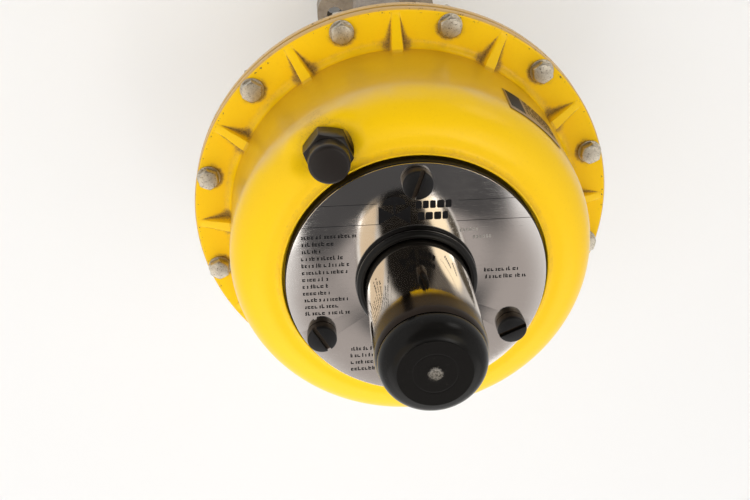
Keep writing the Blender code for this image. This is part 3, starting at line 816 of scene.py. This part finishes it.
def hexagonal(outline, segments, flats, turn, low, high, rounding):
    """Turns an outline, cuts it to a hexagon and rounds its edges by (width, segments, angle)."""
    made = piece(lathe(outline, segments), "blank", STEEL, None)
    boolean(made, prism(circle(corner_radius(flats), 6, turn=turn), low, high), "INTERSECT", 20)
    bevelled(made, *rounding)
    mesh = bmesh.new()
    mesh.from_mesh(made.data)
    data = made.data
    bpy.data.objects.remove(made)
    bpy.data.meshes.remove(data)
    return mesh


def hex_head(flats, low, high, turn):
    """A hexagon with its top corners turned off, down to a round flat face."""
    corner = corner_radius(flats)
    face = flats / 2 * 0.95
    outline = [(0, low), (corner, low), (corner, high - (corner - face) * 0.60), (face, high), (0, high)]
    return hexagonal(outline, 96, flats, turn, low - 0.001, high + 0.002, (0.00016, 2, 26))


def hex_nut(flats, bore, low, high, turn):
    """A hexagon with both ends' corners turned off, and a bore with broken edges."""
    corner, face = corner_radius(flats), flats / 2 * 0.95
    lead = (corner - flats / 2 * 0.97) * 0.58
    outline = [(bore, low + 0.0004), (bore + 0.0005, low), (face, low), (corner, low + lead)]
    outline += [(corner, high - lead), (face, high), (bore + 0.0005, high), (bore, high - 0.0004)]
    return hexagonal(outline, 72, flats, turn, low - 0.001, high + 0.001, (0.00015, 1, 35))


def turned(inner, outer, low, high, softness, segments):
    """A round piece of plain section, solid where its inner radius is 0."""
    return lathe(softened([(inner, low), (outer, low), (outer, high), (inner, high)], softness), segments)


def flange_bolts():
    """Hexagon bolts on plain washers, each turned a little differently."""
    head_turns = (2, -5, 7, 12, -8, 20, -3, 9, 4, -6, 3, -2)
    low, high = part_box("flange_bolt_01")
    washer_low = FLANGE_TOP + GAP
    washer_top = washer_low + WASHER_T
    for number, (place, turn) in enumerate(zip(bolt_places(), head_turns), 1):
        shift = Matrix.Translation((*place, 0))
        head = hex_head(BOLT_FLATS, washer_top, high.z, radians(turn))
        shank = turned(0, BOLT_R, low.z, washer_top + 0.0004, 0.0005, 32)
        washer = turned(BOLT_R + GAP, WASHER_R, washer_low, washer_top, 0.00025, 64)
        name = f"flange_bolt_{number:02d}"
        piece(moved(joined(head, shank, washer), shift), f"hex_{name}", STEEL, "frame", name, sharp=25)


def flange_nuts():
    """Plain nuts under the flange, one on each bolt."""
    low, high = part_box("flange_nut_01")
    for number, place in enumerate(bolt_places(), 1):
        name = f"flange_nut_{number:02d}"
        nut = moved(hex_nut(BOLT_FLATS, BOLT_R + 0.0004, low.z, high.z, radians(7 * number)),
                    Matrix.Translation((*place, 0)))
        piece(nut, f"chamfered_{name}", STEEL, "frame", name, sharp=25)


def stem_nuts():
    for name in ("stem_nut", "travel_stop_nut", "stop_locknut"):
        low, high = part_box(name)
        nut = hex_nut(high.x - low.x, STEM_BORE, low.z, high.z, 0)
        piece(nut, f"chamfered_{name}", STEEL, "stem_assembly", name, sharp=25)


def cover_screws():
    """Cheese-head screws with a straight slot and slightly rounded edges."""
    for number, slot_turn in enumerate((-20, -67, 28), 1):
        name = f"cover_screw_{number}"
        low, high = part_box(name)
        centre = middle(name)
        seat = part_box("name_plate")[1].z + GAP
        head_r = (high.x - low.x) / 2
        outline = [(0, low.z), (0.0044, low.z), (0.0049, low.z + 0.0008), (0.0049, seat), (head_r, seat)]
        outline += [(head_r, high.z - 0.0009)] + arc((head_r - 0.0009, high.z - 0.0009), 0.0009, 0, 80, 4)
        outline += [(0, high.z)]
        screw = piece(lathe(outline, 72), f"slotted_{name}", SCREW, None)
        half_slot, reach = 0.00120, 0.01
        slot = [(-half_slot, -reach), (half_slot, -reach), (half_slot, reach), (-half_slot, reach)]
        slot = prism(slot, high.z - 0.0026, high.z + 0.01)
        boolean(screw, moved(slot, Matrix.Rotation(radians(slot_turn), 4, "Z")), "DIFFERENCE", 30)
        bevelled(screw, 0.00018, 2, 40)
        screw.data.transform(Matrix.Translation((centre.x, centre.y, 0)))
        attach(screw, "frame")
        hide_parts(name)


# ---------------------------------------------------------------- top fittings

def spring_cover():
    """Thick disc with a spigot that closes the casing and holds the tube."""
    low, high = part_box("spring_cover")
    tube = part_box("stem_tube")[1].x
    bore, spigot, seat, step = 0.0120, 0.0200, COVER_SEAT + GAP, 0.2750
    outline = [(bore, low.z), (spigot, low.z), (spigot, seat), (high.x, seat), (high.x, high.z)]
    outline += [(tube + GAP, high.z), (tube + GAP, step), (bore, step)]
    cover = piece(lathe(softened(outline, 0.0004), 192), "turned_spring_cover", BLACK, None)
    boolean(cover, screw_holes(bmesh.new(), SCREW_HOLE_R, 24, 0.26, 0.29), "DIFFERENCE")
    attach(cover, "frame")
    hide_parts("spring_cover")


def name_plate():
    """Thin disc, a little smaller than the cover, so that the cover shows as a dark line round it."""
    low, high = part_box("name_plate")
    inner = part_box("stem_tube")[1].x + 0.0006
    edge = high.x - 0.0006
    plate = piece(turned(inner, edge, low.z, high.z, 0.00015, 256), "polished_name_plate", MIRROR, None)
    boolean(plate, screw_holes(bmesh.new(), SCREW_HOLE_R, 24, 0.27, 0.29), "DIFFERENCE")
    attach(plate, "frame")
    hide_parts("name_plate")


def seal_ring():
    low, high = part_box("tube_seal_ring")
    tube_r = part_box("stem_tube")[1].x
    outer = high.x
    ring = [(tube_r + GAP, low.z), (outer - 0.0006, low.z)]
    ring += arc((outer - 0.0024, low.z + 0.0020), 0.0024, -40, 112, 14)
    ring += [(tube_r + 0.0006, low.z + 0.0034), (tube_r + GAP, low.z + 0.0030)]
    piece(lathe(ring, 160), "moulded_seal_ring", RUBBER, "frame", "tube_seal_ring", sharp=45)


def stem_tube():
    """Thin tube whose end is drawn in a little, under the cap."""
    low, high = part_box("stem_tube")
    inner = high.x - TUBE_T
    tube = [(inner, low.z), (high.x, low.z), (high.x, high.z - 0.0045)]
    tube += [(high.x - 0.0002, high.z - 0.0030), (high.x - 0.0006, high.z - 0.0012)]
    tube += [(high.x - 0.0012, high.z), (inner, high.z)]
    piece(lathe(tube, 192), "polished_stem_tube", TUBE, "frame", "stem_tube", sharp=45)


def end_cap():
    """Hollow cap with a round shoulder and the mark of its moulding gate in the middle."""
    low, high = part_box("tube_end_cap")
    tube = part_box("stem_tube")[1]
    rim = tube.z + GAP
    spigot, hollow, ceiling = tube.x - TUBE_T - 0.0008, 0.0235, 0.3640
    cap = [(0, ceiling), (hollow, ceiling), (hollow, low.z), (spigot - 0.0006, low.z)]
    cap += [(spigot, low.z + 0.001), (spigot, rim), (high.x - 0.0006, rim), (high.x, rim + 0.0006)]
    flat = high.z - 0.0001
    cap += arc((high.x - 0.0106, high.z - 0.0108), 0.0106, 0, 84, 18)
    cap += [(0.0182, flat), (0.0175, flat), (0.0115, flat), (0.0111, flat)]
    cap += [(0.0109, flat - 0.00005), (0.0107, flat - 0.00005), (0.0105, flat)]
    cap += [(0.0101, flat), (0.0060, flat), (0.0044, flat), (0.0036, high.z), (0.0030, flat)]
    cap += [(0.0022, flat - 0.0006), (0.0010, flat - 0.0008), (0, flat - 0.0008)]
    mesh = lathe(cap, 160)
    wear, = new_layers(mesh, ("wear",))
    for vert in mesh.verts:
        radius = hypot(vert.co.x, vert.co.y)
        vert[wear] = (vert.co.z > high.z - 0.003) * 0.85 * smooth(1.35 - radius / 0.0060)
    piece(mesh, "moulded_end_cap", CAP, "end_cap", "tube_end_cap", sharp=60)


def vent_plug():
    """Hexagon with a round cap on it and a shank below."""
    low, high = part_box("vent_plug")
    centre = middle("vent_plug")
    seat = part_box("vent_gasket")[1].z + GAP
    hex_top = seat + 0.0122
    flats, turn = 0.0224, radians(40)
    corner = corner_radius(flats)
    outline = [(0, seat), (0.0108, seat), (corner, seat + 0.0012), (corner, hex_top - 0.0013)]
    outline += [(0.0110, hex_top), (0, hex_top)]
    nut = hexagonal(outline, 96, flats, turn, seat - 0.001, hex_top + 0.001, (0.0003, 2, 35))
    cap_r, neck_r, shank_r = 0.0106, 0.0098, 0.0062
    dome = [(0, hex_top - 0.0005), (neck_r, hex_top - 0.0005), (neck_r, hex_top + 0.0009)]
    dome += [(cap_r, hex_top + 0.0012), (cap_r, high.z - 0.0022)]
    dome += arc((cap_r - 0.0020, high.z - 0.0020), 0.0020, 0, 85, 6) + [(0, high.z)]
    shank = [(0, low.z), (shank_r - 0.0006, low.z), (shank_r, low.z + 0.001)]
    shank += [(shank_r, seat + 0.0005), (0, seat + 0.0005)]
    mesh = joined(nut, lathe(dome, 72), lathe(shank, 40))
    mesh = moved(mesh, Matrix.Translation((centre.x, centre.y, 0)))
    piece(mesh, "vent_plug_body", PLUG, "frame", "vent_plug", sharp=30)


# ---------------------------------------------------------------- markings

def bar(mesh, x0, x1, y0, y1, z):
    """A printed bar: a very thin raised rectangle with softened ends."""
    width, height = x1 - x0, y1 - y0
    outline = rounded(width / 2, height / 2, min(width, height) * 0.2, 2, ((x0 + x1) / 2, (y0 + y1) / 2))
    prism(outline, z, z + PRINT_T, mesh)


def line_of_print(mesh, rng, x0, x1, y, z, height=0.0017):
    """A line of unreadable print: strokes joined by dashes, with gaps as between words."""
    x = x0
    in_word = 0
    while x < x1 - 0.0006:
        width = min(0.0011 + 0.0006 * rng.random(), x1 - x)
        tall = height * (1.4 if rng.random() < 0.25 else 1.0)
        stroke = x + (0.0 if rng.random() < 0.6 else width - PEN)
        bar(mesh, stroke, stroke + PEN, y, y + tall, z)
        bar(mesh, x + PEN, x + width, y, y + PEN, z)
        if rng.random() < 0.7:
            bar(mesh, x + PEN, x + width, y + height - PEN, y + height, z)
        in_word += 1
        new_word = in_word > 5 and rng.random() < 0.25
        x += width + (0.0012 if new_word else 0.00045)
        in_word = 0 if new_word else in_word


def plate_printing():
    """Rules, lines of print, a control-valve symbol with two rows of blocks, and faint stamped marks."""
    rng = np.random.default_rng(7)
    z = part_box("name_plate")[1].z + 0.00002
    mesh = bmesh.new()
    for y, inner_left, inner_right in ((0.0473, -0.0205, 0.0215), (0.0355, -0.0125, 0.0205)):
        half = sqrt(0.0695 ** 2 - y ** 2)
        for x0, x1 in ((-half, inner_left), (inner_right, half)):
            bar(mesh, x0, x1, y, y + 0.00024, z)
    # Paragraphs: left end, first line's height, line spacing, and the lines' lengths in millimetres
    paragraphs = (
        (-0.0606, 0.0288, 0.00420, (29.0, 17.2, 10.7, 22.7, 24.9, 24.4, 14.6, 13.7, 14.2, 24.7, 19.3, 24.6)),
        (-0.0365, -0.0415, 0.0044, (21.0, 19.0, 22.0, 22.5)),
        (0.0358, 0.0044, 0.0043, (18.2, 22.6)),
    )
    for left, first, spacing, lengths in paragraphs:
        for row, length in enumerate(lengths):
            line_of_print(mesh, rng, left, left + length / 1000, first - spacing * row, z)
    valve_symbol(mesh, (-0.0115, 0.0425), z)
    for count, x0, y in ((5, -0.0005, 0.0437), (4, 0.0005, 0.0371)):
        for _ in range(count):
            width = 0.0028 + 0.0010 * rng.random()
            bar(mesh, x0, x0 + width, y, y + 0.0044, z)
            x0 += width + 0.0006
    moved(mesh, Matrix.Rotation(radians(-1.4), 4, "Z"))
    marks = piece(mesh, "plate_printing", INK, "frame", sharp=30)
    stamped = bmesh.new()
    pitch, width = 0.0017, 0.0011
    for x0, y in ((0.0230, 0.0286), (0.0300, 0.0240)):
        for number in range(6):
            bar(stamped, x0 + pitch * number, x0 + width + pitch * number, y, y + 0.0019, z)
    stamp = piece(stamped, "plate_stamped_marks", STAMP, "frame", sharp=30)


def valve_symbol(mesh, centre, z):
    """The drawing-office sign for a diaphragm control valve."""
    x, y = centre
    top = z + PRINT_T
    for side in (1, -1):
        outline = [(x, y - 0.0020), (x + side * 0.0082, y - 0.0072), (x + side * 0.0082, y + 0.0032)]
        prism(outline[::side], z, top, mesh)
    bar(mesh, x - 0.0006, x + 0.0006, y - 0.0020, y + 0.0040, z)
    dome = [(x + 0.0060 * cos(a), y + 0.0040 + 0.0046 * sin(a)) for a in np.linspace(0, pi, 17)]
    prism(dome, z, top, mesh)


def rating_label():
    """Foil label that follows the wall and the start of the shoulder, with its print."""
    low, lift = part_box("rating_label")[0].z, 0.0004
    rise = [(WALL_R + lift, low + (SHOULDER_Z - low) * i / 6) for i in range(7)]
    rise += arc((WALL_R - SHOULDER_R, SHOULDER_Z), SHOULDER_R + lift, 3, 9, 3)
    count = 40
    mesh = bmesh.new()
    grid = []
    for i in range(count + 1):
        a = LABEL_START + (LABEL_END - LABEL_START) * i / count
        grid.append([mesh.verts.new((r * sin(a), r * cos(a), h)) for r, h in rise])
    for first, second in zip(grid, grid[1:]):
        for k in range(len(rise) - 1):
            mesh.faces.new((first[k], first[k + 1], second[k + 1], second[k]))
    label = piece(mesh, "foil_rating_label", LABEL, None)
    thick = label.modifiers.new("thick", "SOLIDIFY")
    thick.thickness = 0.0002
    thick.offset = 0
    applied(label)
    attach(label, "frame")
    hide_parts("rating_label")
    label_printing(low)


def label_printing(low):
    """A dark field at the label's near end and rows of print along the rest."""
    rng = np.random.default_rng(11)
    mesh = bmesh.new()

    def block(a0, a1, z0, z1):
        near, far = WALL_R + 0.00052, WALL_R + 0.00058
        steps = max(2, int((a1 - a0) / radians(1.0)))
        turns = [a0 + (a1 - a0) * i / steps for i in range(steps + 1)]
        ring = [(near, a) for a in turns] + [(far, a) for a in turns[::-1]]
        prism([(r * sin(a), r * cos(a)) for r, a in ring], z0, z1, mesh)

    block(LABEL_START + radians(0.8), LABEL_START + radians(6.2), low + 0.0012, SHOULDER_Z)
    spacing = 0.0032
    for row in range(6):
        a = LABEL_START + radians(7.5)
        while a < LABEL_END - radians(1.5):
            width = radians(0.35 + 0.7 * rng.random())
            block(a, a + width, low + 0.0020 + spacing * row, low + 0.0034 + spacing * row)
            a += width + radians(0.3 + 0.5 * (rng.random() < 0.2))
    marks = piece(mesh, "label_printing", INK, "frame", sharp=30)


# ---------------------------------------------------------------- yoke and stem

def carried_over():
    """CAD nodes whose shape is right: they only get their material."""
    looks = (
        (CAST, ("yoke", "yoke_nut", "diaphragm_plate")),
        (STEEL, ("diaphragm_retainer", "coupling_front", "coupling_rear", "travel_pointer")),
        (SCALE, ("travel_scale",)),
        (BLACK, ("coupling_screw_1", "coupling_screw_2")),
        (TUBE, ("stem",)),
        (BRASS, ("lower_bush", "guide_bush", "air_inlet_fitting")),
        (RUBBER, ("stem_seal", "wiper_ring", "vent_gasket")),
    )
    for look, names in looks:
        for name in names:
            NODES[name].data.materials.clear()
            NODES[name].data.materials.append(look)


# ---------------------------------------------------------------- stage

def direction(azimuth, elevation):
    """Unit vector towards a compass azimuth (0 is +Y, positive towards +X) and an elevation."""
    a, e = radians(azimuth), radians(elevation)
    return Vector((sin(a) * cos(e), cos(a) * cos(e), sin(e)))


def softbox(name, azimuth, elevation, distance, width, height, radiance, colour):
    """A rectangular light aimed at the casing, as bright as this radiance."""
    data = bpy.data.lights.new(name, "AREA")
    data.shape = "RECTANGLE"
    data.size, data.size_y = width, height
    data.energy = radiance * pi * width * height
    data.color = colour
    lamp = bpy.data.objects.new(name, data)
    bpy.context.scene.collection.objects.link(lamp)
    away = direction(azimuth, elevation)
    lamp.location = Vector(LIGHT_AIM) + away * distance
    lamp.rotation_euler = away.to_track_quat("Z", "Y").to_euler()
    return lamp


def studio_floor():
    """Pale floor that shines a little by itself."""
    look = Look("studio_floor", (0.73, 0.75, 0.78), 0.6, Emission_Color=(1, 1, 1, 1), Emission_Strength=0.13)
    look.tint(look.noise(0.4, 2), (0.70, 0.72, 0.745), 0.1)
    mesh = bmesh.new()
    bmesh.ops.create_grid(mesh, x_segments=2, y_segments=2, size=6)
    floor = piece(mesh, "studio_floor", look.done(), None)
    floor.location.z = -0.0005


def studio_world():
    """Pale surroundings with darker and brighter patches, as the walls and screens of a studio give."""
    world = bpy.data.worlds.new("studio")
    bpy.context.scene.world = world
    world.use_nodes = True
    tree = world.node_tree
    nodes, links = tree.nodes, tree.links
    coord = nodes.new("ShaderNodeTexCoord").outputs["Generated"]
    colour = (1.36, 1.34, 1.31, 1)
    for azimuth, elevation, inner, outer, patch in WORLD_PATCHES:
        dot = nodes.new("ShaderNodeVectorMath")
        dot.operation = "DOT_PRODUCT"
        links.new(coord, dot.inputs[0])
        dot.inputs[1].default_value = direction(azimuth, elevation)
        step = nodes.new("ShaderNodeMapRange")
        step.interpolation_type = "SMOOTHSTEP"
        links.new(dot.outputs["Value"], step.inputs["Value"])
        step.inputs["From Min"].default_value = cos(radians(outer))
        step.inputs["From Max"].default_value = cos(radians(inner))
        mix = nodes.new("ShaderNodeMix")
        mix.data_type = "RGBA"
        links.new(step.outputs[0], mix.inputs[0])
        feed(tree, mix.inputs[6], colour)
        mix.inputs[7].default_value = (*patch, 1)
        colour = mix.outputs[2]
    links.new(colour, nodes["Background"].inputs["Color"])


def camera():
    data = bpy.data.cameras.new("camera")
    data.lens = LENS
    data.sensor_width = 36
    data.clip_start = 0.01
    made = bpy.data.objects.new("camera", data)
    bpy.context.scene.collection.objects.link(made)
    a, e = radians(AZIMUTH), radians(ELEVATION)
    back = Vector((sin(a) * cos(e), -cos(a) * cos(e), sin(e)))
    made.location = Vector(AIM) + back * DISTANCE
    aim = (-back).to_track_quat("-Z", "Y").to_matrix().to_4x4()
    turn = aim @ Matrix.Rotation(radians(ROLL), 4, "Z")
    made.rotation_euler = turn.to_euler()
    bpy.context.scene.camera = made


def stage():
    studio_floor()
    studio_world()
    softbox("left_key", -150, 32, 1.6, 1.6, 0.7, 0.8, (1.0, 0.97, 0.93))
    softbox("right_key", 150, 32, 1.6, 1.6, 0.7, 0.8, (1.0, 0.97, 0.93))
    overhead = softbox("overhead", -50, 74, 1.4, 1.1, 1.1, 2.0, (1.0, 0.98, 0.95))
    overhead.visible_glossy = False
    bpy.context.scene.view_settings.view_transform = "Standard"


camera()
stage()
upper_casing()
lower_casing()
diaphragm()
springs()
flange_bolts()
flange_nuts()
stem_nuts()
spring_cover()
name_plate()
cover_screws()
seal_ring()
stem_tube()
end_cap()
vent_plug()
plate_printing()
rating_label()
carried_over()
